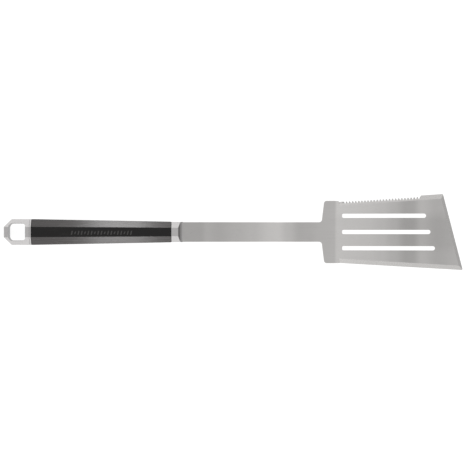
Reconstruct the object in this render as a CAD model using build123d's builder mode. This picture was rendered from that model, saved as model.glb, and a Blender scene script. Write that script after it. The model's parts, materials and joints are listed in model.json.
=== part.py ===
"""Grill spatula: a slotted, part-serrated steel blade on a long flat shank, with an
octagonal two-shell grip between a cast ferrule and a cast end cap with a hanging eye."""

from build123d import *
from math import cos, radians, sin, tan
import os

# The frame: +X runs from the end cap to the blade's tip, +Z is up, and the origin is on
# the table under the middle of the spatula. Lengths are in millimetres, angles in degrees.

# ---- Whole spatula ----
OVERALL_LENGTH = 458.3
TIP_ROUNDING = 0.3  # what the tip's rounded corner takes off the length
TIP_X = OVERALL_LENGTH / 2 + TIP_ROUNDING
BUTT_X = -OVERALL_LENGTH / 2
AXIS_Z = 10.0  # height of the grip's axis above the table
BEYOND = 60.0  # how far a cutting form reaches past what it cuts

# ---- Blade, shank and tang: one stamped plate ----
PLATE = 2.0
BLADE_WIDTH = 76.0  # at the front edge
BLADE_LENGTH = 139.85  # shoulder to tip
FRONT_SKEW = 19.4  # how far the plain corner leads the serrated one
HEEL_WIDTH = 63.1
HEEL_STEP = 0.45  # how far the ground stretch is set in from the heel on each side
HEEL_RAKE = 2.6  # how far the shoulder's rear edge slants forward on each side
HEEL_CORNER_R = 3.0
HEEL_TO_BEND = 15.75
BEND_TO_TIP = 125.45
BLADE_ANGLE = 12.0  # how steeply the blade rises from its bend
BEND_R = 7.0
SHANK_WIDTH = 19.9
SHANK_DROP_START_X = -46.0
SHANK_DROP_END_X = 67.0
SHANK_TOP_BEND_R = 60.0
SHANK_LOW_BEND_R = 150.0
SHANK_EDGE_BREAK = 0.3
TANG_WIDTH = 12.8
TANG_END_X = -192.0
TANG_CORNER_R = 2.0
TIP_CORNER_R = 1.0

# ---- Slots ----
SLOT_WIDTH = 4.2
SLOT_PITCH = 16.3
SLOT_REAR_X = 110.3
SLOT_FRONT_X = 197.7  # the middle slot's front end
SLOT_SKEW = 4.35  # how much further each slot reaches than the one beside it
SLOT_REAR_CORNER_R = 1.3

# ---- Serrations and ground edges ----
TOOTH_COUNT = 25
TOOTH_PITCH = 3.05
TOOTH_GAP = 2.6
TOOTH_CUT = 2.6
TOOTH_ROOT_R = 0.5
TEETH_REAR_X = 107.0
TEETH_FRONT_X = 187.8
TEETH_REAR_RECESS = 0.8
TEETH_FRONT_RECESS = 1.3
TEETH_STEP = 0.6
GRIND_REAR_X = 107.0
PLAIN_GRIND = (4.3, 1.35)  # width and depth at the edge
SERRATED_GRIND = (4.7, 1.35)
FRONT_GRIND = (3.0, 1.2)

# ---- Octagonal sections: width, height and 45 degree corner cut ----
REAR_SECTION = (26.0, 20.0, 7.85)
FRONT_SECTION = (20.8, 15.5, 6.1)
FERRULE_SECTION = (20.4, 15.3, 6.0)
GRIP_WALL = 2.4
GRIP_EDGE_R = 0.7
CORNER_LOSS = 2 - 2**0.5  # what a corner cut loses for each mm of inward offset

# ---- Lengths along the handle, from the butt ----
CAP_LENGTH = 25.55
COLLAR_LENGTH = 1.6
GASKET_LENGTH = 0.6
GRIP_LENGTH = 139.5
FERRULE_LENGTH = 6.65
CAP_FACE_X = BUTT_X + CAP_LENGTH
COLLAR_FACE_X = CAP_FACE_X + COLLAR_LENGTH
GRIP_REAR_X = COLLAR_FACE_X + GASKET_LENGTH
GRIP_FRONT_X = GRIP_REAR_X + GRIP_LENGTH
FERRULE_REAR_X = GRIP_FRONT_X + GASKET_LENGTH

# ---- End cap ----
CAP_END_WIDTH = 11.0
CAP_PLAN_CUT = 8.0
CAP_SIDE_CUT = 0.6
EYE_LENGTH = 16.24  # at the foot
EYE_WIDTH = 16.6
EYE_DRAFT = 1.0  # degrees that the walls lean outwards towards the top
EYE_X = BUTT_X + 12.92
EYE_END_R = 4.5
EYE_FACE_R = 2.6
EYE_EDGE_R = 0.35
CAST_EDGE_R = 0.5
COLLAR_CHAMFER = 0.35

# ---- Spigots that the shells close on, and their keys ----
CAP_SPIGOT_LENGTH = 14.6
CAP_SPIGOT_INSET = GRIP_WALL + 0.45
FERRULE_SPIGOT_LENGTH = 13.4
FERRULE_SPIGOT_INSET = GRIP_WALL + 0.2
SPIGOT_POCKET = (14.0, 8.0)  # width and height of the hollow in the end cap's spigot
GASKET_INSET = 0.35
GASKET_PLAY = 0.1
KEY_WIDTH = 1.8
KEY_DEPTH = 0.9
KEY_PLAY = 0.15
KEY_GROOVE_WIDTH = KEY_WIDTH + 2 * KEY_PLAY
CAP_KEY_X = GRIP_REAR_X + 6.0
FERRULE_KEY_X = GRIP_FRONT_X - 6.0

# ---- Ferrule nose ----
NOSE_LEAN = 0.37  # forward lean of the nose's faces for each mm of height
NOSE_LIP_LENGTH = 2.3
NOSE_LIP_HEIGHT = 1.3
NOSE_FILLET_R = 2.5
SHANK_SEAT_X = FERRULE_REAR_X + 5.3
SEAT_PLAY = 0.03

# ---- Shell screws, their inserts and plugs ----
SCREW_X = {"rear": -175.0, "middle": -132.0, "front": -88.0}
SCREW_R = 1.5
SCREW_PLAY = 0.04
SCREW_LENGTH = 10.0
SCREW_HEAD_R = 2.8
SCREW_HEAD_HEIGHT = 2.0
SCREW_HEAD_EDGE_R = 0.8
SCREW_POINT_CHAMFER = 0.4
SCREW_SEAT_Z = 6.5
HEX_KEY_SIZE = 2.0
HEX_KEY_DEPTH = 1.1
SCREW_HOLE_R = 1.7
TANG_HOLE_R = 1.9
COUNTERBORE_R = 3.2
LOWER_BOSS_R = 4.6
UPPER_BOSS_R = 3.9
INSERT_R = 2.3
INSERT_LENGTH = 5.0
INSERT_GROOVE = 0.35
INSERT_POCKET = 5.8
PLUG_R = 3.15
PLUG_TOP_Z = 3.6
PLUG_CHAMFER = 0.35

# ---- Webs inside the shells, and the lip where they meet ----
WEB_X = (-184.0, -153.5, -110.0)
WEB_THICKNESS = 1.6
TANG_PLAY = 0.1
TANG_END_PLAY = 1.0
LIP_HEIGHT = 1.0
LIP_PLAY = 0.12
SEAM_CHAMFER = 0.25

ON_BASE = (Align.CENTER, Align.CENTER, Align.MIN)

# ---- Places on the blade that follow from the sizes above ----
HEEL_X = TIP_X - BLADE_LENGTH
BEND_X = TIP_X - BEND_TO_TIP
CORNER_X = TIP_X - FRONT_SKEW
FLARE_X = HEEL_X + HEEL_TO_BEND
FLARE = (BLADE_WIDTH - HEEL_WIDTH + 2 * HEEL_STEP) / 2 / (CORNER_X - FLARE_X)
RISE = tan(radians(BLADE_ANGLE))


def serrated_side(x, recess=0.0):
    """Plan point on the blade's serrated side at x, brought inwards by the recess."""
    return (x, HEEL_WIDTH / 2 - HEEL_STEP + FLARE * (x - FLARE_X) - recess)


def plain_side(x):
    """Plan point on the blade's plain side at x."""
    return (x, -serrated_side(x)[1])


def on_blade(x, y):
    """Point of the raised blade's upper face above the plan point x, y."""
    return Vector(x, y, PLATE / 2 + RISE * (x - BEND_X) + PLATE / 2 / cos(radians(BLADE_ANGLE)))


def across(x):
    """Plane across the handle at x: its local x runs along +Y and its local y along +Z."""
    return Plane(origin=(x, 0, AXIS_Z), x_dir=(0, 1, 0), z_dir=(1, 0, 0))


def octagon(x, section, inset=0.0):
    """Face across the handle at x: an octagonal section, moved inwards by the inset."""
    width, height, corner = section
    with BuildSketch(across(x)) as outline:
        Rectangle(width - 2 * inset, height - 2 * inset)
        chamfer(outline.vertices(), corner - CORNER_LOSS * inset)
    return outline.sketch.face()


def grip_form(inset=0.0):
    """The grip's tapering octagonal form, its faces moved inwards by the inset."""
    rear = octagon(GRIP_REAR_X, REAR_SECTION, inset)
    front = octagon(GRIP_FRONT_X, FRONT_SECTION, inset)
    with BuildPart() as form:
        loft([rear, front], ruled=True)
    return form.part


def grip_half_height(x):
    """Half the height of the tapering grip at x."""
    taper = (x - GRIP_REAR_X) / GRIP_LENGTH
    return (REAR_SECTION[1] * (1 - taper) + FRONT_SECTION[1] * taper) / 2


def ground_wedge(start, end, grind):
    """What grinding takes off the upper face along an edge from start to end, taken
    anticlockwise round the blade: a wedge that is deepest at the edge itself."""
    width, depth = grind
    normal = Vector(-sin(radians(BLADE_ANGLE)), 0, cos(radians(BLADE_ANGLE)))
    along = on_blade(*end) - on_blade(*start)
    section = Plane(origin=on_blade(*start), x_dir=normal.cross(along), z_dir=along)
    with BuildPart() as wedge:
        with BuildSketch(section):
            with BuildLine():
                Polyline((width, 0), (-width, -2 * depth), (-width, PLATE), (width, PLATE), close=True)
            make_face()
        extrude(amount=along.length)
    return wedge.part


def key_ring(x, length, section, inset):
    """Ring round a spigot from x: the groove in it, or brought out a little the key in that."""
    with BuildPart() as ring:
        extrude(octagon(x, section), amount=length)
        extrude(octagon(x, section, inset + KEY_DEPTH), amount=length, mode=Mode.SUBTRACT)
    return ring.part


def shell_webs():
    """Webs across the hollow grip and the two keys that hold the spigots in its ends."""
    with BuildPart() as webs:
        for x in WEB_X:
            with BuildSketch(across(x - WEB_THICKNESS / 2)):
                Rectangle(BEYOND, BEYOND)
            extrude(amount=WEB_THICKNESS)
        for x, section, inset in (
            (CAP_KEY_X, REAR_SECTION, CAP_SPIGOT_INSET),
            (FERRULE_KEY_X, FRONT_SECTION, FERRULE_SPIGOT_INSET),
        ):
            add(key_ring(x - KEY_WIDTH / 2, KEY_WIDTH, section, inset - KEY_PLAY))
        add(grip_form(GRIP_WALL), mode=Mode.INTERSECT)
    return webs.part


def shell_half(side):
    """One half of the hollow grip, with its webs, keys and the seat for the tang."""
    with BuildPart() as half:
        add(grip_form())
        fillet(half.edges().filter_by(lambda e: e.length > GRIP_LENGTH - 1), GRIP_EDGE_R)
        add(grip_form(GRIP_WALL), mode=Mode.SUBTRACT)
        add(shell_webs())
        with BuildSketch(across(TANG_END_X - TANG_END_PLAY)):
            Rectangle(TANG_WIDTH + 2 * TANG_PLAY, PLATE)
        extrude(amount=GRIP_LENGTH, mode=Mode.SUBTRACT)
        split(bisect_by=Plane.XY.offset(AXIS_Z), keep=side)
    return half.part


def shell_lip(play=0.0):
    """Lip that stands up inside the seam, or with play the rebate that takes it."""
    with BuildPart() as lip:
        add(grip_form(GRIP_WALL / 2 - play))
        add(grip_form(GRIP_WALL + play), mode=Mode.SUBTRACT)
        with BuildSketch(Plane.XY.offset(AXIS_Z)):
            Rectangle(OVERALL_LENGTH, BEYOND)
        extrude(amount=LIP_HEIGHT + play, mode=Mode.INTERSECT)
    return lip.part


def seam_edges(shell):
    """The two long outer edges along which a shell meets the other one."""
    at_seam = shell.edges().filter_by(lambda e: abs(e.center().Z - AXIS_Z) < 0.01)
    return at_seam.sort_by(lambda e: abs(e.center().Y) * (e.length > GRIP_LENGTH - 1))[-2:]


# ---- Blade ----
with BuildPart() as blade:
    # The bent strip seen from the side: tang, sloping shank, flat heel and raised blade
    with BuildSketch(Plane.XZ):
        with BuildLine():
            FilletPolyline(
                (TANG_END_X - BEYOND, AXIS_Z),
                (SHANK_DROP_START_X, AXIS_Z),
                (SHANK_DROP_END_X, PLATE / 2),
                (BEND_X, PLATE / 2),
                (TIP_X + BEYOND, PLATE / 2 + RISE * (TIP_X + BEYOND - BEND_X)),
                radius=[SHANK_TOP_BEND_R, SHANK_LOW_BEND_R, BEND_R],
            )
            offset(amount=PLATE / 2)
        make_face()
    extrude(amount=BLADE_WIDTH, both=True)

    # The outline seen from above
    with BuildSketch() as outline:
        with BuildLine():
            Polyline(
                (HEEL_X, -SHANK_WIDTH / 2),
                (HEEL_X + HEEL_RAKE, -HEEL_WIDTH / 2),
                (GRIND_REAR_X - HEEL_STEP, -HEEL_WIDTH / 2),
                plain_side(GRIND_REAR_X),
                (TIP_X, -BLADE_WIDTH / 2),
                (CORNER_X, BLADE_WIDTH / 2),
                serrated_side(TEETH_FRONT_X + TEETH_STEP),
                serrated_side(TEETH_FRONT_X, TEETH_FRONT_RECESS),
                serrated_side(TEETH_REAR_X, TEETH_REAR_RECESS),
                (GRIND_REAR_X - HEEL_STEP, HEEL_WIDTH / 2),
                (HEEL_X + HEEL_RAKE, HEEL_WIDTH / 2),
                (HEEL_X, SHANK_WIDTH / 2),
                (SHANK_SEAT_X, SHANK_WIDTH / 2),
                (SHANK_SEAT_X, TANG_WIDTH / 2),
                (TANG_END_X, TANG_WIDTH / 2),
                (TANG_END_X, -TANG_WIDTH / 2),
                (SHANK_SEAT_X, -TANG_WIDTH / 2),
                (SHANK_SEAT_X, -SHANK_WIDTH / 2),
                close=True,
            )
        make_face()
        heel_corners = outline.vertices().filter_by(lambda v: HEEL_X - 1 < v.X < HEEL_X + HEEL_RAKE + 1)
        fillet(heel_corners, HEEL_CORNER_R)
        fillet(outline.vertices().filter_by(lambda v: v.X > CORNER_X - 1), TIP_CORNER_R)
        fillet(outline.vertices().group_by(Axis.X)[0], TANG_CORNER_R)
    extrude(amount=BEYOND, mode=Mode.INTERSECT)

    # Broken edges along the shank and the heel
    rim = blade.edges().filter_by(lambda e: SHANK_SEAT_X + 1 < e.center().X < BEND_X - 1)
    chamfer(rim.filter_by(lambda e: abs(e.tangent_at(0.5).Z) < 0.5), SHANK_EDGE_BREAK)

    # Three slots
    with BuildSketch() as slots:
        for row in (-1, 0, 1):
            front_x = SLOT_FRONT_X - row * SLOT_SKEW - SLOT_WIDTH / 2
            with Locations(((SLOT_REAR_X + front_x) / 2, row * SLOT_PITCH)):
                Rectangle(front_x - SLOT_REAR_X, SLOT_WIDTH)
            with Locations((front_x, row * SLOT_PITCH)):
                Circle(SLOT_WIDTH / 2)
        fillet(slots.vertices().group_by(Axis.X)[0], SLOT_REAR_CORNER_R)
    extrude(amount=BEYOND, mode=Mode.SUBTRACT)

    # Ground bevels along both sides and the front edge
    plain_tip = (TIP_X, -BLADE_WIDTH / 2)
    serrated_tip = (CORNER_X, BLADE_WIDTH / 2)
    add(ground_wedge(plain_side(GRIND_REAR_X), plain_tip, PLAIN_GRIND), mode=Mode.SUBTRACT)
    add(ground_wedge(plain_tip, serrated_tip, FRONT_GRIND), mode=Mode.SUBTRACT)
    add(ground_wedge(serrated_tip, serrated_side(GRIND_REAR_X), SERRATED_GRIND), mode=Mode.SUBTRACT)

    # Serrations: V cuts with rounded roots along the recessed stretch
    teeth_rear = Vector(*serrated_side(TEETH_REAR_X, TEETH_REAR_RECESS))
    teeth_front = Vector(*serrated_side(TEETH_FRONT_X, TEETH_FRONT_RECESS))
    with BuildSketch(Plane(origin=teeth_front, x_dir=teeth_front - teeth_rear, z_dir=(0, 0, 1))) as teeth:
        with Locations((-TOOTH_PITCH * TOOTH_COUNT / 2, 0)):
            with GridLocations(TOOTH_PITCH, 0, TOOTH_COUNT, 1):
                Polygon((0, -TOOTH_CUT), (TOOTH_GAP, TOOTH_CUT), (-TOOTH_GAP, TOOTH_CUT), align=None)
        fillet(teeth.vertices().filter_by(lambda v: v.Y < 0), TOOTH_ROOT_R)
    extrude(amount=BEYOND, mode=Mode.SUBTRACT)

    # Screw holes in the tang
    with Locations(*[(x, 0, AXIS_Z + PLATE / 2) for x in SCREW_X.values()]):
        Hole(TANG_HOLE_R, PLATE)

# ---- Ferrule ----
with BuildPart() as ferrule:
    extrude(octagon(FERRULE_REAR_X, FERRULE_SECTION), amount=BEYOND)
    fillet(ferrule.edges().filter_by(Axis.X), CAST_EDGE_R)

    # The nose seen from the side: leaning faces that sweep onto a thin lip on the plate
    nose_half = FERRULE_SECTION[1] / 2
    nose_foot_x = FERRULE_REAR_X + FERRULE_LENGTH + NOSE_LEAN * (nose_half - NOSE_LIP_HEIGHT)
    with BuildSketch(Plane.XZ) as nose:
        with BuildLine():
            Polyline(
                (FERRULE_REAR_X, AXIS_Z - nose_half),
                (FERRULE_REAR_X + FERRULE_LENGTH, AXIS_Z - nose_half),
                (nose_foot_x, AXIS_Z - NOSE_LIP_HEIGHT),
                (nose_foot_x + NOSE_LIP_LENGTH, AXIS_Z - NOSE_LIP_HEIGHT),
                (nose_foot_x + NOSE_LIP_LENGTH, AXIS_Z + NOSE_LIP_HEIGHT),
                (nose_foot_x, AXIS_Z + NOSE_LIP_HEIGHT),
                (FERRULE_REAR_X + FERRULE_LENGTH, AXIS_Z + nose_half),
                (FERRULE_REAR_X, AXIS_Z + nose_half),
                close=True,
            )
        make_face()
        fillet(nose.vertices().filter_by(lambda v: abs(v.X - nose_foot_x) < 0.01), NOSE_FILLET_R)
    extrude(amount=BEYOND, both=True, mode=Mode.INTERSECT)

    # Spigot with a groove for the shells' keys
    extrude(octagon(FERRULE_REAR_X, FRONT_SECTION, FERRULE_SPIGOT_INSET), amount=-FERRULE_SPIGOT_LENGTH)
    groove_x = FERRULE_KEY_X - KEY_GROOVE_WIDTH / 2
    add(key_ring(groove_x, KEY_GROOVE_WIDTH, FRONT_SECTION, FERRULE_SPIGOT_INSET), mode=Mode.SUBTRACT)

    # Passage for the tang, and the slit in the nose that the shank's end seats in
    with BuildSketch(across(FERRULE_REAR_X)):
        Rectangle(TANG_WIDTH + 2 * TANG_PLAY, PLATE + 2 * SEAT_PLAY)
    extrude(amount=BEYOND, both=True, mode=Mode.SUBTRACT)
    with BuildSketch(across(SHANK_SEAT_X)):
        Rectangle(BEYOND, PLATE + 2 * SEAT_PLAY)
    extrude(amount=BEYOND, mode=Mode.SUBTRACT)

# ---- End cap ----
with BuildPart() as end_cap:
    extrude(octagon(BUTT_X, REAR_SECTION), amount=CAP_LENGTH)
    fillet(end_cap.edges().filter_by(Axis.X), CAST_EDGE_R)

    # Its outline seen from above, and from the side
    with BuildSketch() as cap_outline:
        with Locations((BUTT_X, 0)):
            Rectangle(CAP_LENGTH, REAR_SECTION[0], align=(Align.MIN, Align.CENTER))
        side_cut = (REAR_SECTION[0] - CAP_END_WIDTH) / 2
        chamfer(cap_outline.vertices().group_by(Axis.X)[0], CAP_PLAN_CUT, side_cut)
    extrude(amount=BEYOND, mode=Mode.INTERSECT)
    with BuildSketch(Plane.XZ) as cap_side:
        with Locations((BUTT_X, AXIS_Z)):
            Rectangle(CAP_LENGTH, REAR_SECTION[1], align=(Align.MIN, Align.CENTER))
        chamfer(cap_side.vertices().group_by(Axis.X)[0], CAP_SIDE_CUT)
    extrude(amount=BEYOND, both=True, mode=Mode.INTERSECT)
    chamfer(end_cap.faces().sort_by(Axis.X)[-1].edges(), COLLAR_CHAMFER)

    # Hanging eye
    with BuildSketch() as eye:
        with Locations((EYE_X, 0)):
            Rectangle(EYE_LENGTH, EYE_WIDTH)
        fillet(eye.vertices().group_by(Axis.X)[0], EYE_END_R)
        fillet(eye.vertices().group_by(Axis.X)[-1], EYE_FACE_R)
    extrude(amount=REAR_SECTION[1], taper=-EYE_DRAFT, mode=Mode.SUBTRACT)
    rim = end_cap.edges().filter_by(lambda e: abs(e.center().X - EYE_X) < EYE_LENGTH / 2 + 0.6)
    rim = rim.filter_by(lambda e: abs(e.center().Y) < EYE_WIDTH / 2 + 0.6)
    fillet(rim.filter_by(lambda e: abs(e.tangent_at(0.5).Z) < 0.95), EYE_EDGE_R)

    # Hollow spigot with a groove for the shells' keys
    extrude(octagon(CAP_FACE_X, REAR_SECTION, CAP_SPIGOT_INSET), amount=CAP_SPIGOT_LENGTH)
    groove_x = CAP_KEY_X - KEY_GROOVE_WIDTH / 2
    add(key_ring(groove_x, KEY_GROOVE_WIDTH, REAR_SECTION, CAP_SPIGOT_INSET), mode=Mode.SUBTRACT)
    with BuildSketch(across(CAP_FACE_X)):
        Rectangle(*SPIGOT_POCKET)
    extrude(amount=BEYOND, mode=Mode.SUBTRACT)

# ---- Collar between the end cap and the grip ----
with BuildPart() as end_collar:
    extrude(octagon(CAP_FACE_X, REAR_SECTION), amount=COLLAR_LENGTH)
    fillet(end_collar.edges().filter_by(Axis.X), CAST_EDGE_R)
    chamfer(end_collar.faces().sort_by(Axis.X)[0].edges(), COLLAR_CHAMFER)
    bore = octagon(CAP_FACE_X, REAR_SECTION, CAP_SPIGOT_INSET - GASKET_PLAY)
    extrude(bore, amount=COLLAR_LENGTH, mode=Mode.SUBTRACT)

# ---- Gaskets that seal the grip's two ends ----
with BuildPart() as rear_gasket:
    extrude(octagon(COLLAR_FACE_X, REAR_SECTION, GASKET_INSET), amount=GASKET_LENGTH)
    bore = octagon(COLLAR_FACE_X, REAR_SECTION, CAP_SPIGOT_INSET - GASKET_PLAY)
    extrude(bore, amount=GASKET_LENGTH, mode=Mode.SUBTRACT)

with BuildPart() as front_gasket:
    extrude(octagon(GRIP_FRONT_X, FRONT_SECTION, GASKET_INSET), amount=GASKET_LENGTH)
    bore = octagon(GRIP_FRONT_X, FRONT_SECTION, FERRULE_SPIGOT_INSET - GASKET_PLAY)
    extrude(bore, amount=GASKET_LENGTH, mode=Mode.SUBTRACT)

# ---- Upper grip shell ----
with BuildPart() as grip_upper_shell:
    add(shell_half(Keep.TOP))
    for x in SCREW_X.values():
        # Boss with a pocket for the threaded insert
        boss_top = AXIS_Z + grip_half_height(x) - GRIP_WALL / 2
        with Locations((x, 0, AXIS_Z + PLATE / 2)):
            Cylinder(UPPER_BOSS_R, boss_top - AXIS_Z - PLATE / 2, align=ON_BASE)
            Cylinder(INSERT_R + SCREW_PLAY, INSERT_POCKET, align=ON_BASE, mode=Mode.SUBTRACT)
    add(shell_lip(LIP_PLAY), mode=Mode.SUBTRACT)
    chamfer(seam_edges(grip_upper_shell), SEAM_CHAMFER)

# ---- Lower grip shell ----
with BuildPart() as grip_lower_shell:
    add(shell_half(Keep.BOTTOM))
    for x in SCREW_X.values():
        # Boss with a clearance hole, counterbored from outside for the screw's head
        boss_foot = AXIS_Z - grip_half_height(x) + GRIP_WALL / 2
        with Locations((x, 0, boss_foot)):
            Cylinder(LOWER_BOSS_R, AXIS_Z - PLATE / 2 - boss_foot, align=ON_BASE)
        with Locations((x, 0, 0)):
            Cylinder(SCREW_HOLE_R, AXIS_Z, align=ON_BASE, mode=Mode.SUBTRACT)
            Cylinder(COUNTERBORE_R, SCREW_SEAT_Z, align=ON_BASE, mode=Mode.SUBTRACT)
    chamfer(seam_edges(grip_lower_shell), SEAM_CHAMFER)
    add(shell_lip())

pieces = {
    "blade": blade.part,
    "ferrule": ferrule.part,
    "grip_upper_shell": grip_upper_shell.part,
    "grip_lower_shell": grip_lower_shell.part,
    "front_gasket": front_gasket.part,
    "rear_gasket": rear_gasket.part,
    "end_collar": end_collar.part,
    "end_cap": end_cap.part,
}

# ---- Shell screws, with an insert above and a plug below each ----
for place, x in SCREW_X.items():
    with BuildPart() as screw:
        with Locations((x, 0, SCREW_SEAT_Z - SCREW_HEAD_HEIGHT)):
            Cylinder(SCREW_HEAD_R, SCREW_HEAD_HEIGHT, align=ON_BASE)
        fillet(screw.edges().filter_by(GeomType.CIRCLE).sort_by(Axis.Z)[0], SCREW_HEAD_EDGE_R)
        with Locations((x, 0, SCREW_SEAT_Z)):
            Cylinder(SCREW_R - SCREW_PLAY, SCREW_LENGTH, align=ON_BASE)
        chamfer(screw.edges().filter_by(GeomType.CIRCLE).sort_by(Axis.Z)[-1], SCREW_POINT_CHAMFER)
        with BuildSketch(Plane(origin=(x, 0, SCREW_SEAT_Z - SCREW_HEAD_HEIGHT))):
            RegularPolygon(HEX_KEY_SIZE / 2, 6, major_radius=False)
        extrude(amount=HEX_KEY_DEPTH, mode=Mode.SUBTRACT)
    pieces[f"shell_screw_{place}"] = screw.part

    with BuildPart() as insert:
        with Locations((x, 0, AXIS_Z + PLATE / 2)):
            Cylinder(INSERT_R, INSERT_LENGTH, align=ON_BASE)
            Cylinder(SCREW_R, INSERT_LENGTH, align=ON_BASE, mode=Mode.SUBTRACT)
        for share in (1 / 3, 2 / 3):
            with Locations((x, 0, AXIS_Z + PLATE / 2 + INSERT_LENGTH * share)):
                Torus(INSERT_R, INSERT_GROOVE, mode=Mode.SUBTRACT)
    pieces[f"threaded_insert_{place}"] = insert.part

    with BuildPart() as plug:
        with Locations((x, 0, 0)):
            Cylinder(PLUG_R, PLUG_TOP_Z, align=ON_BASE)
        add(grip_form(), mode=Mode.INTERSECT)
        chamfer(plug.faces().sort_by(Axis.Z)[0].edges(), PLUG_CHAMFER)
    pieces[f"screw_plug_{place}"] = plug.part

os.makedirs("parts", exist_ok=True)
for name, piece in pieces.items():
    piece.label = name
    export_step(piece, f"parts/{name}.step")
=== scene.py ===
import json
from math import cos, pi, radians, sin

import bpy
import numpy as np
from bpy.props import FloatProperty, FloatVectorProperty, IntProperty, PointerProperty
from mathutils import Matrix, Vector

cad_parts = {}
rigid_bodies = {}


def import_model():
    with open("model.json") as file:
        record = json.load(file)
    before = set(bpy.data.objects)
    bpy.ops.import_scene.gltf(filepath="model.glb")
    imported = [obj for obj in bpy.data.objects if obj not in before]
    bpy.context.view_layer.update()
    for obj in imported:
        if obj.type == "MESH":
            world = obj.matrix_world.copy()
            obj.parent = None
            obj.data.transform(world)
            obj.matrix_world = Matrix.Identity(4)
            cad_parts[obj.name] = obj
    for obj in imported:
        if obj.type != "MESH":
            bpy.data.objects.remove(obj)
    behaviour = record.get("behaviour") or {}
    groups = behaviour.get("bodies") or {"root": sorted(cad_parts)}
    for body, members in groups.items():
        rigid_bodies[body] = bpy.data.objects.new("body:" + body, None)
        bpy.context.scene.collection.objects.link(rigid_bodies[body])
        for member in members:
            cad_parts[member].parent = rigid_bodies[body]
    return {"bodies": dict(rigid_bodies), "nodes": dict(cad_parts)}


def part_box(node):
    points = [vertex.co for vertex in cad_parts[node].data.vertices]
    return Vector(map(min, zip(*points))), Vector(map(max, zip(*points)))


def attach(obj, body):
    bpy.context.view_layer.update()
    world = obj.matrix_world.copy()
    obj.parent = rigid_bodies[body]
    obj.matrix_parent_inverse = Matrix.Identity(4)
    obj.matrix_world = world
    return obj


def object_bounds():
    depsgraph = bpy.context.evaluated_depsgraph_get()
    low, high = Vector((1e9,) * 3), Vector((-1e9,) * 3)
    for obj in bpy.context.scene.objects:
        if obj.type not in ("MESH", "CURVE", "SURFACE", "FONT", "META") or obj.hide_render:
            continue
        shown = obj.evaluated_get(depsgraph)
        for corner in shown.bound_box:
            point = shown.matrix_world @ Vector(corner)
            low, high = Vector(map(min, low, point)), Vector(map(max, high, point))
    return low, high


bl_info = {
    "name": "Grill spatula finishes",
    "version": (1, 0, 0),
    "blender": (4, 5, 0),
    "location": "View3D > Sidebar > Spatula",
    "description": "Steel, plastic and rubber finishes for a grill spatula, with its studio",
    "category": "Material",
}

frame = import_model()
CAD_LOW, CAD_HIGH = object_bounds()
MM = 0.001

# The spatula lies along X: hanging eye at -X, blade at +X, serrated side towards +Y.
BLADE_LOW, BLADE_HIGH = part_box("blade")
GRIP_LOW, GRIP_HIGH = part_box("grip_upper_shell")
FERRULE_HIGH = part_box("ferrule")[1]
CAP_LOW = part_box("end_cap")[0]
BLADE_ANGLE = radians(12)  # how steeply the blade rises in front of its bend
BEND_X = CAD_HIGH[0] - 125.2 * MM
BODY = next(iter(frame["bodies"]))
PLACES = ("rear", "middle", "front")
MARK_RISE = 0.05 * MM  # how thick a printed bar is
MARK_SINK = 0.02 * MM  # how far its rim is sunk into the grip, so that no gap shows
MARK_SLANT = 0.12  # how far each end of a bar leans along the grip, as a share of its length
MARK_SHORTER = 0.35  # how much shorter every third bar is
MARK_SHIFT = -0.8 * MM  # the mark sits this far off the grip's middle line

# The studio, in metres
FLOOR_REACH = 4.0
FLOOR_GLOW = 0.92  # the floor's own light, as on a light table
SKY_FADE = (0.35, 0.97)  # the sky turns from side light to overhead light between these heights
STRIP_REAR_X = -0.150
STRIP_LENGTH = 0.062
STRIP_HEIGHT = 0.12
STRIP_DISTANCE = 0.20
STRIP_BALANCE = 0.20  # how much stronger the serrated side's strip is than the other
SENSOR_WIDTH = 36.0
VIEW_WIDTH = 0.46895
VIEW_CENTRE = (-0.00015, -0.0005)

# Where the hanging eye ends at the front, and a little more than half of its width
EYE_FRONT_X = CAP_LOW[0] + 21.4 * MM
EYE_HALF_WIDTH = 9.0 * MM

# The ferrule's nose: where it begins, where its lip does, and where the lip ends on the shank
NOSE_START = (FERRULE_HIGH[0] - 5.2 * MM, FERRULE_HIGH[0] - 4.7 * MM)
NOSE_LIP = (FERRULE_HIGH[0] - 2.6 * MM, FERRULE_HIGH[0] - 2.3 * MM)
NOSE_END = (FERRULE_HIGH[0] - 1.9 * MM, FERRULE_HIGH[0] + 0.3 * MM)

# The line of the blade's serrated side, the stretch of it that has teeth, and their depth
SERRATED_START = (105.35 * MM, 31.1 * MM)
SERRATED_END = (210.05 * MM, 38.0 * MM)
TEETH_X = (110.8 * MM, 188.2 * MM)
TEETH_DEPTH = 2.7 * MM

# The ground edges: how level a face of the sheet is at least, and where the grinding starts
GROUND_LEVEL = (0.955, 0.985)
GROUND_START = (BEND_X + 2 * MM, BEND_X + 3 * MM)

# The blade's sides get a painted highlight, brighter than its middle, over this stretch and this distance
# across
SIDE_HIGHLIGHT_X = (140 * MM, 205 * MM)
SIDE_HIGHLIGHT_Y = (10 * MM, 24 * MM)

# The painted grey highlight on the grip's slanted facets grows over this stretch
FACET_HIGHLIGHT_X = (-176 * MM, -132 * MM)

# Painted reflection bands on the brushed sheet along its length, as (place along X in mm, brightness)
PAINTED_REFLECTION_BANDS = (
    (-52, 0.80), (-32, 0.79), (-26, 0.88), (-14, 0.84), (4, 0.92), (20, 0.99), (38, 1.14), (46, 1.15),
    (56, 1.01), (68, 0.87), (76, 0.89), (88, 0.94), (103.2, 0.965), (104.5, 1.12), (120, 1.09), (136, 1.05),
    (150, 0.98), (162, 0.88), (174, 0.73), (180, 0.73), (189, 0.88), (204, 0.78), (226, 0.86),
)


# ---- Shader maths ----

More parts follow.
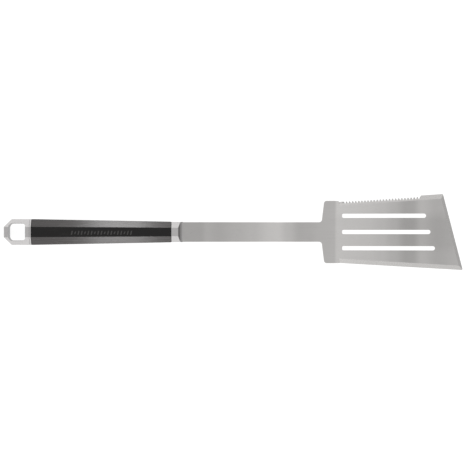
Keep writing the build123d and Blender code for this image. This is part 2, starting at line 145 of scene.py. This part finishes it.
class Wire:
    """An output socket; arithmetic on it adds Math nodes to its tree."""

    def __init__(self, paint, socket):
        self.paint = paint
        self.socket = socket

    def math(self, operation, *terms):
        return self.paint.node("ShaderNodeMath", {"operation": operation}, dict(enumerate(terms)))

    def __add__(self, other):
        return self.math("ADD", self, other)

    def __radd__(self, other):
        return self.math("ADD", other, self)

    def __sub__(self, other):
        return self.math("SUBTRACT", self, other)

    def __rsub__(self, other):
        return self.math("SUBTRACT", other, self)

    def __mul__(self, other):
        return self.math("MULTIPLY", self, other)

    def __rmul__(self, other):
        return self.math("MULTIPLY", other, self)

    def __pow__(self, other):
        return self.math("POWER", self, other)

    def __abs__(self):
        return self.math("ABSOLUTE", self)

    def wave(self, pitch):
        """Sine ripple between 0 and 1 that repeats every pitch."""
        return 0.5 + 0.5 * self.math("SINE", self * (2 * pi / pitch))

    def above(self, low, high):
        """0 below low, 1 above high, and a smooth step between them."""
        settings = {"interpolation_type": "SMOOTHSTEP"}
        sockets = {"Value": self, "From Min": low, "From Max": high}
        return self.paint.node("ShaderNodeMapRange", settings, sockets)

    def below(self, low, high):
        """1 below low, 0 above high, and a smooth step between them."""
        return 1 - self.above(low, high)

    def between(self, low, high):
        """Spread from 0 to 1 over low to high, as a straight line that is held at both ends."""
        sockets = {"Value": self, "From Min": low, "From Max": high}
        return self.paint.node("ShaderNodeMapRange", {}, sockets)


class Paint:
    """The node tree of a material or of the sky, which ends in one shader."""

    def __init__(self, owner, shader="Principled BSDF", **constants):
        self.owner = owner
        owner.use_nodes = True
        self.tree = owner.node_tree
        self.shader = self.tree.nodes[shader]
        for socket, value in constants.items():
            self.set(socket.replace("_", " "), value)

    def node(self, kind, settings=None, sockets=None, output=0):
        """A node of any kind: its settings first, then the values or wires of its sockets.

        The setting stops holds a ramp's stops in rising order, as (place, grey) pairs.
        """
        made = self.tree.nodes.new(kind)
        for key, value in (settings or {}).items():
            if key == "stops":
                ramp = made.color_ramp
                ramp.interpolation = "EASE"
                while len(ramp.elements) < len(value):
                    ramp.elements.new(0.5)
                for element, (place, grey) in zip(ramp.elements, value):
                    element.position = place
                    element.color = (grey, grey, grey, 1.0)
            else:
                setattr(made, key, value)
        for key, value in (sockets or {}).items():
            self.feed(made.inputs[key], value)
        return Wire(self, made.outputs[output])

    def feed(self, socket, value):
        """Links a wire to a socket, or sets a number, a grey or a colour on it."""
        if isinstance(value, Wire):
            self.tree.links.new(value.socket, socket)
        elif socket.type == "RGBA" and isinstance(value, (int, float)):
            socket.default_value = (value, value, value, 1.0)
        elif socket.type == "RGBA":
            socket.default_value = (*value[:3], 1.0)
        else:
            socket.default_value = value

    def set(self, socket, value):
        self.feed(self.shader.inputs[socket], value)

    def place(self):
        """Object coordinates, in metres in the frame of the whole spatula."""
        return self.node("ShaderNodeTexCoord", output="Object")

    def facing(self):
        """The surface's own direction in the frame of the whole spatula."""
        return self.node("ShaderNodeTexCoord", output="Normal")

    def parts(self, vector):
        """The x, y and z of a vector."""
        split = self.node("ShaderNodeSeparateXYZ", {}, {0: vector}).socket.node
        return [Wire(self, socket) for socket in split.outputs]

    def stretched(self, vector, scale):
        return self.node("ShaderNodeVectorMath", {"operation": "MULTIPLY"}, {0: vector, 1: scale})

    def noise(self, size, detail=2.0, roughness=0.5, seed=0.0):
        """Noise about 0.5 whose grains measure size = (x, y, z) in millimetres."""
        vector = self.stretched(self.place(), [1 / (side * MM) for side in size])
        shift = {0: vector, 1: (seed, seed, seed)}
        vector = self.node("ShaderNodeVectorMath", {"operation": "ADD"}, shift)
        sockets = {"Vector": vector, "Scale": 1.0, "Detail": detail, "Roughness": roughness}
        return self.node("ShaderNodeTexNoise", {"noise_dimensions": "3D"}, sockets)

    def ramp(self, value, stops):
        return self.node("ShaderNodeValToRGB", {"stops": stops}, {"Fac": value})

    def mixed(self, share, first, second):
        """Colour that goes from first to second as share goes from 0 to 1."""
        sockets = {0: share, 6: first, 7: second}
        return self.node("ShaderNodeMix", {"data_type": "RGBA"}, sockets, output=2)

    def scaled(self, colour, share):
        """A colour multiplied by a number that varies over the surface."""
        return self.node("ShaderNodeVectorMath", {"operation": "SCALE"}, {0: colour, "Scale": share})

    def bump(self, height, depth):
        """Normal for a height from 0 to 1 that stands for the given depth in millimetres."""
        sockets = {"Height": height, "Strength": 1.0, "Distance": depth * MM}
        return self.node("ShaderNodeBump", {}, sockets)


# ---- Finishes ----

def blade_steel(look):
    """Stainless sheet brushed along its length, with faint smears, painted reflection bands, a painted
    highlight on its ground edges and painted shade on its front edge and teeth.
    """
    paint = Paint(bpy.data.materials.new("blade_steel"), Metallic=1.0)
    along, across, _ = paint.parts(paint.place())
    facing_x, _, facing_z = paint.parts(paint.facing())

    # Painted reflection bands across the sheet, placed along its length
    length = BLADE_HIGH[0] - BLADE_LOW[0]
    stops = [((place_x * MM - BLADE_LOW[0]) / length, brightness / 2) for place_x, brightness in PAINTED_REFLECTION_BANDS]
    painted_bands = 2 * paint.ramp(along.between(BLADE_LOW[0], BLADE_HIGH[0]), stops)

    grain_size = (look.grain_length, look.grain_width, look.grain_width)
    grain = paint.noise(grain_size, detail=3, roughness=0.6)
    drift = paint.noise((28, 9, 9), detail=2, seed=3.1)
    smear = paint.noise((17, 13, 13), detail=3, roughness=0.65, seed=7.7).above(0.5, 0.72)
    scratch = paint.noise((46, 0.5, 0.5), detail=1, seed=12.3).above(0.68, 0.76)

    # The ground edges lean away from the raised sheet, and show a finer cut, with a painted highlight in
    # their colour
    level = sin(BLADE_ANGLE) * -1 * facing_x + cos(BLADE_ANGLE) * facing_z
    ground = level.below(*GROUND_LEVEL) * along.above(*GROUND_START)
    cut = paint.noise((0.35, 60, 60), detail=2, seed=5.0)

    # The teeth get painted shade, darker than the sheet
    slope = (SERRATED_END[1] - SERRATED_START[1]) / (SERRATED_END[0] - SERRATED_START[0])
    depth = SERRATED_START[1] + slope * (along - SERRATED_START[0]) - across
    teeth = depth.below(0.85 * TEETH_DEPTH, TEETH_DEPTH)
    teeth = teeth * along.above(TEETH_X[0] - MM, TEETH_X[0])
    teeth = teeth * along.below(TEETH_X[1] - MM / 2, TEETH_X[1])

    # The front edge faces forward and gets painted shade; the ground sides' painted highlight weakens past
    # the bend
    front = facing_x.above(-0.05, 0.10)
    painted_ground_side_tone = look.ground_edge_highlight - 0.10 * along.above(BEND_X, BEND_X + 40 * MM)
    painted_ground_edge_tone = painted_ground_side_tone - look.front_edge_shade * front

    shade = painted_bands * (1 - ground) + painted_ground_edge_tone * ground
    shade = shade * (1 + look.grain_contrast * (grain - 0.5) + 0.05 * (drift - 0.5) - 0.03 * smear)
    shade = shade * (1 - look.tooth_shade * teeth)

    # The blade's two sides get a painted highlight a little brighter than its middle, the serrated one most
    sides = abs(across).above(*SIDE_HIGHLIGHT_Y) * along.above(*SIDE_HIGHLIGHT_X)
    serrated_side = across.above(*SIDE_HIGHLIGHT_Y) * along.above(BEND_X, BEND_X + MM)
    painted_side_highlight = 0.08 * sides + 0.06 * serrated_side
    shade = shade * (1 + painted_side_highlight * (1 - ground))
    paint.set("Base Color", paint.scaled(tuple(look.colour), shade))
    rough = look.roughness + 0.10 * (grain - 0.5) + 0.06 * smear - 0.05 * scratch - 0.06 * ground
    paint.set("Roughness", rough)
    height = grain * (1 - 0.7 * ground) + 0.15 * cut * ground - 0.8 * scratch
    paint.set("Normal", paint.bump(height, look.grain_depth))
    return paint.owner


def cast_steel(look):
    """Satin stainless casting, fine-blasted, with handling marks, and painted shade at the nose's foot and
    on the walls inside the hanging eye.
    """
    paint = Paint(bpy.data.materials.new("cast_steel"), Metallic=1.0)
    blast = paint.noise((0.35, 0.35, 0.35), detail=3, roughness=0.6)
    cloud = paint.noise((7, 7, 7), detail=2, seed=2.2)
    rub_and_highlight = paint.noise((9, 2, 2), detail=3, roughness=0.6, seed=8.4).above(0.52, 0.75)
    shade = 1 + 0.05 * (blast - 0.5) + 0.07 * (cloud - 0.5) + 0.03 * rub_and_highlight

    # The ferrule's nose sweeps into its foot, which gets painted shade
    along, across, _ = paint.parts(paint.place())
    facing_x, _, facing_z = paint.parts(paint.facing())
    foot = facing_x.above(0.05, 0.3) + along.above(*NOSE_LIP) * facing_z.above(0.8, 0.9)
    foot = foot.math("MINIMUM", foot, 1.0) * along.above(*NOSE_START) * along.below(*NOSE_END)
    shade = shade * (1 - look.nose_foot_shade * foot)

    # Inside the hanging eye the walls get painted shade, the rear one most of all
    walls = facing_z.below(0.15, 0.5) * along.above(CAP_LOW[0] + 3.0 * MM, CAP_LOW[0] + 3.6 * MM)
    walls = walls * along.below(EYE_FRONT_X + 0.4 * MM, EYE_FRONT_X + 0.8 * MM)
    walls = walls * abs(across).below(EYE_HALF_WIDTH + 0.4 * MM, EYE_HALF_WIDTH + 0.8 * MM)
    rear = facing_x.above(0.2, 0.7)
    shade = shade * (1 - look.eye_wall_shade * walls * (0.5 + 0.5 * rear))
    paint.set("Base Color", paint.scaled(tuple(look.colour), shade))
    paint.set("Roughness", look.roughness + 0.10 * (blast - 0.5) - 0.05 * rub_and_highlight)
    paint.set("Normal", paint.bump(blast, look.blast_depth))
    return paint.owner


def grip_plastic(look):
    """Satin black moulding with lengthwise draw lines, a fine skin, light handling wear and a painted grey
    highlight on its slanted facets.
    """
    paint = Paint(bpy.data.materials.new("grip_plastic"), Metallic=0.0, Specular_IOR_Level=0.31)
    along, _, _ = paint.parts(paint.place())
    _, facing_y, facing_z = paint.parts(paint.facing())
    draw = paint.noise((85, 0.7, 0.7), detail=3, roughness=0.6)
    skin = paint.noise((0.25, 0.25, 0.25), detail=2, seed=4.0)
    wear = paint.noise((14, 5, 5), detail=3, roughness=0.65, seed=9.0).above(0.5, 0.75)
    # The slanted facets get a painted grey highlight, stronger towards the front of the grip and on its
    # plain side
    slanted = abs(facing_y).above(0.25, 0.6)
    plain_side = facing_y.below(-0.3, 0.3)
    rub_and_highlight = slanted * (0.74 + 0.20 * along.above(*FACET_HIGHLIGHT_X) + 0.22 * plain_side)
    shade = look.facet_highlight_brightness * rub_and_highlight * (0.75 + 0.5 * draw) + 0.004 * wear
    paint.set("Base Color", paint.mixed(shade, tuple(look.colour), (0.95, 0.88, 0.87)))
    paint.set("Roughness", look.roughness + 0.16 * (draw - 0.5) + 0.05 * wear + 0.04 * (skin - 0.5))
    paint.set("Normal", paint.bump(0.5 * skin + draw, look.skin_depth))
    return paint.owner


def gasket_rubber(look):
    """Matt black silicone rubber with a soft dusty bloom."""
    paint = Paint(bpy.data.materials.new("gasket_rubber"), Metallic=0.0)
    dust = paint.noise((1.5, 1.5, 1.5), detail=4, roughness=0.6)
    paint.set("Base Color", paint.mixed(dust * 0.06, tuple(look.colour), 0.5))
    paint.set("Roughness", look.roughness + 0.15 * (dust - 0.5))
    paint.set("Normal", paint.bump(dust, 0.02))
    return paint.owner


def turned_metal(name, look, colour, centre_x):
    """Metal turned about the upright axis at centre_x: rings of tool marks round that axis."""
    paint = Paint(bpy.data.materials.new(name), Metallic=1.0)
    along, across, up = paint.parts(paint.place())
    along = along - centre_x
    radius = (along * along + across * across) ** 0.5
    rings = (radius + 0.35 * up).wave(look.ring_pitch * MM)
    stain = paint.noise((1.2, 1.2, 1.2), detail=3)
    paint.set("Base Color", paint.scaled(colour, 0.9 + 0.1 * rings - 0.12 * stain))
    paint.set("Roughness", look.roughness + 0.12 * (stain - 0.5) + 0.05 * rings)
    paint.set("Normal", paint.bump(rings, 0.01))
    return paint.owner


def mark_print(look):
    """Thin grey pad print, worn unevenly."""
    paint = Paint(bpy.data.materials.new("mark_print"), Metallic=0.0)
    worn = paint.noise((2.5, 1.2, 1.2), detail=4, roughness=0.7)
    paint.set("Base Color", paint.scaled(tuple(look.colour), 0.6 + 0.8 * worn))
    paint.set("Roughness", 0.45 + 0.2 * (worn - 0.5))
    paint.set("Normal", paint.bump(worn, 0.01))
    return paint.owner


# ---- Sizes and colours that a user may change ----

def colour_setting(name, words, default):
    return FloatVectorProperty(
        name=name, description=words, subtype="COLOR", size=3, min=0, max=1, default=default
    )


def number_setting(name, words, default, low=0.0, high=1.0):
    return FloatProperty(name=name, description=words, default=default, min=low, max=high)


class BladeLook(bpy.types.PropertyGroup):
    colour: colour_setting("Steel", "Colour of the brushed stainless sheet", (0.674, 0.66, 0.648))
    roughness: number_setting("Roughness", "Roughness of the brushed face", 0.33)
    grain_length: number_setting("Grain length", "Length of a brush line in millimetres", 38.0, 1, 200)
    grain_width: number_setting("Grain width", "Width of a brush line in millimetres", 0.45, 0.05, 5)
    grain_depth: number_setting("Grain depth", "Depth of a brush line in millimetres", 0.010, 0, 0.2)
    grain_contrast: number_setting("Grain contrast", "How much the brush lines vary in tone", 0.10)
    # Painted highlight on the ground sides, and painted shade on the front edge
    ground_edge_highlight: number_setting("Edge brightness", "Brightness of the ground sides", 1.16, 0, 1.5)
    front_edge_shade: number_setting("Front dullness", "How much duller the ground front edge is", 0.26)
    # Painted shade on the teeth
    tooth_shade: number_setting("Tooth darkness", "How much darker the serration is", 0.30)


class CastLook(bpy.types.PropertyGroup):
    colour: colour_setting("Steel", "Colour of the satin casting", (0.602, 0.59, 0.588))
    roughness: number_setting("Roughness", "Roughness of the blasted face", 0.34)
    blast_depth: number_setting("Blast depth", "Depth of the blasted skin in millimetres", 0.012, 0, 0.2)
    # Painted shade at the foot of the ferrule's nose
    nose_foot_shade: number_setting("Foot darkness", "How dark the unpolished foot of the nose is", 0.51)
    # Painted shade on the walls inside the hanging eye
    eye_wall_shade: number_setting(
        "Eye darkness", "How dark the eye's rear wall is; the others are darkened half as much", 0.64
    )


class GripLook(bpy.types.PropertyGroup):
    colour: colour_setting("Plastic", "Colour of the moulded shells", (0.006, 0.0055, 0.0055))
    roughness: number_setting("Roughness", "Roughness of the satin skin", 0.26)
    skin_depth: number_setting("Skin depth", "Depth of the moulded skin in millimetres", 0.010, 0, 0.2)
    # Painted grey highlight on the grip's slanted facets
    facet_highlight_brightness: number_setting("Rub", "How grey the slanted facets are rubbed", 0.058)


class RubberLook(bpy.types.PropertyGroup):
    colour: colour_setting("Rubber", "Colour of the gaskets", (0.012, 0.012, 0.012))
    roughness: number_setting("Roughness", "Roughness of the rubber", 0.75)


class FastenerLook(bpy.types.PropertyGroup):
    steel: colour_setting("Screw steel", "Colour of the screws", (0.56, 0.56, 0.57))
    brass: colour_setting("Brass", "Colour of the threaded inserts", (0.78, 0.57, 0.27))
    roughness: number_setting("Roughness", "Roughness of the turned faces", 0.28)
    ring_pitch: number_setting("Ring pitch", "Spacing of the tool marks in millimetres", 0.35, 0.05, 2)


class MarkLook(bpy.types.PropertyGroup):
    colour: colour_setting("Ink", "Colour of the printed bars", (0.045, 0.043, 0.043))
    bars: IntProperty(name="Bars", description="How many bars the mark has", default=19, min=1, max=60)
    start_x: FloatProperty(
        name="Start", description="Where the row of bars begins along the grip",
        default=-0.1625, unit="LENGTH", precision=4,
    )
    length: FloatProperty(
        name="Length", description="Length of the row of bars",
        default=0.0625, unit="LENGTH", precision=4,
    )
    height: FloatProperty(
        name="Height", description="Length of one bar across the grip",
        default=0.0044, unit="LENGTH", precision=4,
    )


class StudioLook(bpy.types.PropertyGroup):
    floor: colour_setting("Floor", "Colour of the plain floor", (0.26, 0.26, 0.26))
    zenith: number_setting("Overhead light", "Brightness of the sky straight overhead", 0.66, 0, 10)
    horizon: number_setting("Side light", "Brightness of the sky near the horizon", 0.95, 0, 10)
    strip: number_setting("Strip light", "Brightness of the two strips beside the grip", 8.5, 0, 50)
    distance: FloatProperty(
        name="Camera height", description="Height of the camera above the table",
        default=2.4, unit="LENGTH",
    )


# ---- New pieces ----

def grid_faces(rows, columns):
    """The four corners of each cell of a grid of points, counted row by row."""
    index = np.arange(rows * columns).reshape(rows, columns)
    corners = [index[:-1, :-1], index[1:, :-1], index[1:, 1:], index[:-1, 1:]]
    return np.stack(corners, axis=-1).reshape(-1, 4)


def new_mesh(name, points, faces):
    """Smooth-shaded object at the origin, made from arrays of points and faces."""
    mesh = bpy.data.meshes.new(name)
    mesh.from_pydata(points.reshape(-1, 3), [], faces)
    mesh.shade_smooth()
    piece = bpy.data.objects.new(name, mesh)
    bpy.context.collection.objects.link(piece)
    return piece


def facet_height(x):
    """Height of the grip's upper facet: a straight line from its highest point at one end to the other's."""
    vertices = frame["nodes"]["grip_upper_shell"].data.vertices
    points = np.empty(3 * len(vertices))
    vertices.foreach_get("co", points)
    points = points.reshape(-1, 3)
    rear = points[points[:, 0] < GRIP_LOW[0] + MM, 2].max()
    front = points[points[:, 0] > GRIP_HIGH[0] - MM, 2].max()
    return rear + (front - rear) * (x - GRIP_LOW[0]) / (GRIP_HIGH[0] - GRIP_LOW[0])


def printed_bars(look):
    """Low slanted bars on the grip's upper facet, evenly spaced, every third one shorter.

    Each bar is a grid whose coordinates u and v run from -1 to 1, u along the grip and v
    across it. A point's x is the bar's middle plus its half-width times u plus a slant times v,
    and its y is the bar's half-length times v. Its height falls off from the middle to the rim
    as 1 - |u|^6 times 1 - |v|^6, and stands on the facet, whose height is a straight line in x.
    """
    side = np.linspace(-1, 1, 13)
    u, v = np.meshgrid(side, side, indexing="ij")
    rise = (1 - abs(u) ** 6) * (1 - abs(v) ** 6)
    number = np.arange(look.bars)[:, None, None]
    pitch = look.length / look.bars
    tall = 1 - MARK_SHORTER * (number % 3 == 1)
    x = look.start_x + pitch * (number + 0.5 + 0.22 * u) + MARK_SLANT * look.height * v
    y = MARK_SHIFT + tall * look.height / 2 * v
    z = facet_height(x) + MARK_RISE * rise - MARK_SINK
    faces = grid_faces(*u.shape)[None] + u.size * number
    return new_mesh("grip_mark", np.stack([x, y, z], axis=-1), faces.reshape(-1, 4))


def sweep_floor():
    """Level square sheet under the spatula, a grid of points at the table's height."""
    side = np.linspace(-FLOOR_REACH, FLOOR_REACH, 5)
    x, y = np.meshgrid(side, side, indexing="ij")
    return new_mesh("floor", np.stack([x, y, np.zeros_like(x)], axis=-1), grid_faces(*x.shape))


def finish_nodes(material, *names):
    """Gives CAD nodes a finish in place of their plain one."""
    for name in names:
        for slot in frame["nodes"][name].material_slots:
            slot.material = material


def hidden_light(name, width, height, place, towards, watts):
    """Rectangular soft light that the camera doesn't see, aimed from one place to another."""
    light = bpy.data.lights.new(name, "AREA")
    light.shape = "RECTANGLE"
    light.size = width
    light.size_y = height
    light.energy = watts
    lamp = bpy.data.objects.new(name, light)
    lamp.location = place
    lamp.rotation_euler = (Vector(towards) - Vector(place)).to_track_quat("-Z", "Y").to_euler()
    lamp.visible_camera = False
    bpy.context.collection.objects.link(lamp)
    return lamp


# ---- Operators ----

class SPATULA_OT_blade(bpy.types.Operator):
    """Finish the blade, shank and tang"""

    bl_idname = "spatula.blade"
    bl_label = "Blade steel"

    def execute(self, context):
        finish_nodes(blade_steel(context.scene.spatula_blade), "blade")
        return {"FINISHED"}


class SPATULA_OT_castings(bpy.types.Operator):
    """Finish the ferrule, the end cap and its collar"""

    bl_idname = "spatula.castings"
    bl_label = "Castings"

    def execute(self, context):
        finish_nodes(cast_steel(context.scene.spatula_cast), "ferrule", "end_cap", "end_collar")
        return {"FINISHED"}


class SPATULA_OT_grip(bpy.types.Operator):
    """Finish the two grip shells and the plugs over their screws"""

    bl_idname = "spatula.grip"
    bl_label = "Grip shells"

    def execute(self, context):
        plastic = grip_plastic(context.scene.spatula_grip)
        plugs = [f"screw_plug_{place}" for place in PLACES]
        finish_nodes(plastic, "grip_upper_shell", "grip_lower_shell", *plugs)
        return {"FINISHED"}


class SPATULA_OT_gaskets(bpy.types.Operator):
    """Finish the gaskets at the grip's two ends"""

    bl_idname = "spatula.gaskets"
    bl_label = "Gaskets"

    def execute(self, context):
        finish_nodes(gasket_rubber(context.scene.spatula_rubber), "front_gasket", "rear_gasket")
        return {"FINISHED"}


class SPATULA_OT_fasteners(bpy.types.Operator):
    """Finish the shell screws and the brass inserts that they turn into"""

    bl_idname = "spatula.fasteners"
    bl_label = "Screws and inserts"

    def execute(self, context):
        look = context.scene.spatula_fastener
        for place in PLACES:
            low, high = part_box(f"shell_screw_{place}")
            centre_x = (low[0] + high[0]) / 2
            screw = turned_metal(f"screw_steel_{place}", look, tuple(look.steel), centre_x)
            insert = turned_metal(f"insert_brass_{place}", look, tuple(look.brass), centre_x)
            finish_nodes(screw, f"shell_screw_{place}")
            finish_nodes(insert, f"threaded_insert_{place}")
        return {"FINISHED"}


class SPATULA_OT_mark(bpy.types.Operator):
    """Print the plain row of bars on the grip's upper facet"""

    bl_idname = "spatula.mark"
    bl_label = "Grip mark"

    def execute(self, context):
        look = context.scene.spatula_mark
        mark = printed_bars(look)
        mark.data.materials.append(mark_print(look))
        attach(mark, BODY)
        return {"FINISHED"}


class SPATULA_OT_stage(bpy.types.Operator):
    """Lay the pale floor and set the sky, the strip lights and the camera"""

    bl_idname = "spatula.stage"
    bl_label = "Studio"

    def execute(self, context):
        look = context.scene.spatula_studio
        scene = context.scene
        scene.view_settings.view_transform = "Standard"
        scene.view_settings.look = "None"

        # Pale floor that glows, so that it stays near white under the spatula
        floor = sweep_floor()
        paint = Paint(bpy.data.materials.new("floor_paper"), Roughness=0.9, Emission_Strength=FLOOR_GLOW)
        paint.set("Base Color", tuple(look.floor))
        paint.set("Emission Color", (1.0, 1.0, 1.0))
        floor.data.materials.append(paint.owner)

        # Sky that is brightest at the sides and softer overhead
        sky = Paint(bpy.data.worlds.new("studio_sky"), shader="Background")
        scene.world = sky.owner
        up = sky.parts(sky.node("ShaderNodeTexCoord", output="Generated"))[2]
        sky.set("Strength", look.horizon + (look.zenith - look.horizon) * up.above(*SKY_FADE))
        sky.set("Color", (1.0, 1.0, 1.0))

        # A strip light along each side of the grip, which lights nothing but the grip
        grip_only = bpy.data.collections.new("grip_only")
        for name in ("grip_upper_shell", "grip_lower_shell"):
            grip_only.objects.link(frame["nodes"][name])
        for side in (-1, 1):
            place = (STRIP_REAR_X + STRIP_LENGTH / 2, side * STRIP_DISTANCE, STRIP_HEIGHT / 2)
            watts = look.strip * (1 + side * STRIP_BALANCE) * pi * STRIP_LENGTH * STRIP_HEIGHT
            aim = (place[0], 0, place[2])
            lamp = hidden_light(f"strip_{side}", STRIP_LENGTH, STRIP_HEIGHT, place, aim, watts)
            lamp.light_linking.receiver_collection = grip_only

        # Camera straight above, looking down with the blade to the right
        camera_data = bpy.data.cameras.new("camera")
        camera_data.sensor_width = SENSOR_WIDTH
        camera_data.lens = SENSOR_WIDTH * look.distance / VIEW_WIDTH
        camera = bpy.data.objects.new("camera", camera_data)
        camera.location = (*VIEW_CENTRE, look.distance)
        scene.collection.objects.link(camera)
        scene.camera = camera
        return {"FINISHED"}


class SPATULA_PT_panel(bpy.types.Panel):
    """Lists the spatula's pieces, finishes and studio"""

    bl_idname = "SPATULA_PT_panel"
    bl_label = "Grill spatula"
    bl_space_type = "VIEW_3D"
    bl_region_type = "UI"
    bl_category = "Spatula"

    def draw(self, context):
        for operator in OPERATORS:
            self.layout.operator(operator.bl_idname)


LOOKS = {
    "spatula_blade": BladeLook,
    "spatula_cast": CastLook,
    "spatula_grip": GripLook,
    "spatula_rubber": RubberLook,
    "spatula_fastener": FastenerLook,
    "spatula_mark": MarkLook,
    "spatula_studio": StudioLook,
}
OPERATORS = (
    SPATULA_OT_blade,
    SPATULA_OT_castings,
    SPATULA_OT_grip,
    SPATULA_OT_gaskets,
    SPATULA_OT_fasteners,
    SPATULA_OT_mark,
    SPATULA_OT_stage,
)


def register():
    for name, group in LOOKS.items():
        bpy.utils.register_class(group)
        setattr(bpy.types.Scene, name, PointerProperty(type=group))
    for operator in OPERATORS:
        bpy.utils.register_class(operator)
    bpy.utils.register_class(SPATULA_PT_panel)


def unregister():
    bpy.utils.unregister_class(SPATULA_PT_panel)
    for operator in reversed(OPERATORS):
        bpy.utils.unregister_class(operator)
    for name, group in reversed(LOOKS.items()):
        delattr(bpy.types.Scene, name)
        bpy.utils.unregister_class(group)


def main():
    register()
    bpy.ops.spatula.stage()
    bpy.ops.spatula.blade()
    bpy.ops.spatula.castings()
    bpy.ops.spatula.grip()
    bpy.ops.spatula.gaskets()
    bpy.ops.spatula.fasteners()
    bpy.ops.spatula.mark()
    bpy.context.view_layer.update()


if __name__ == "__main__":
    main()
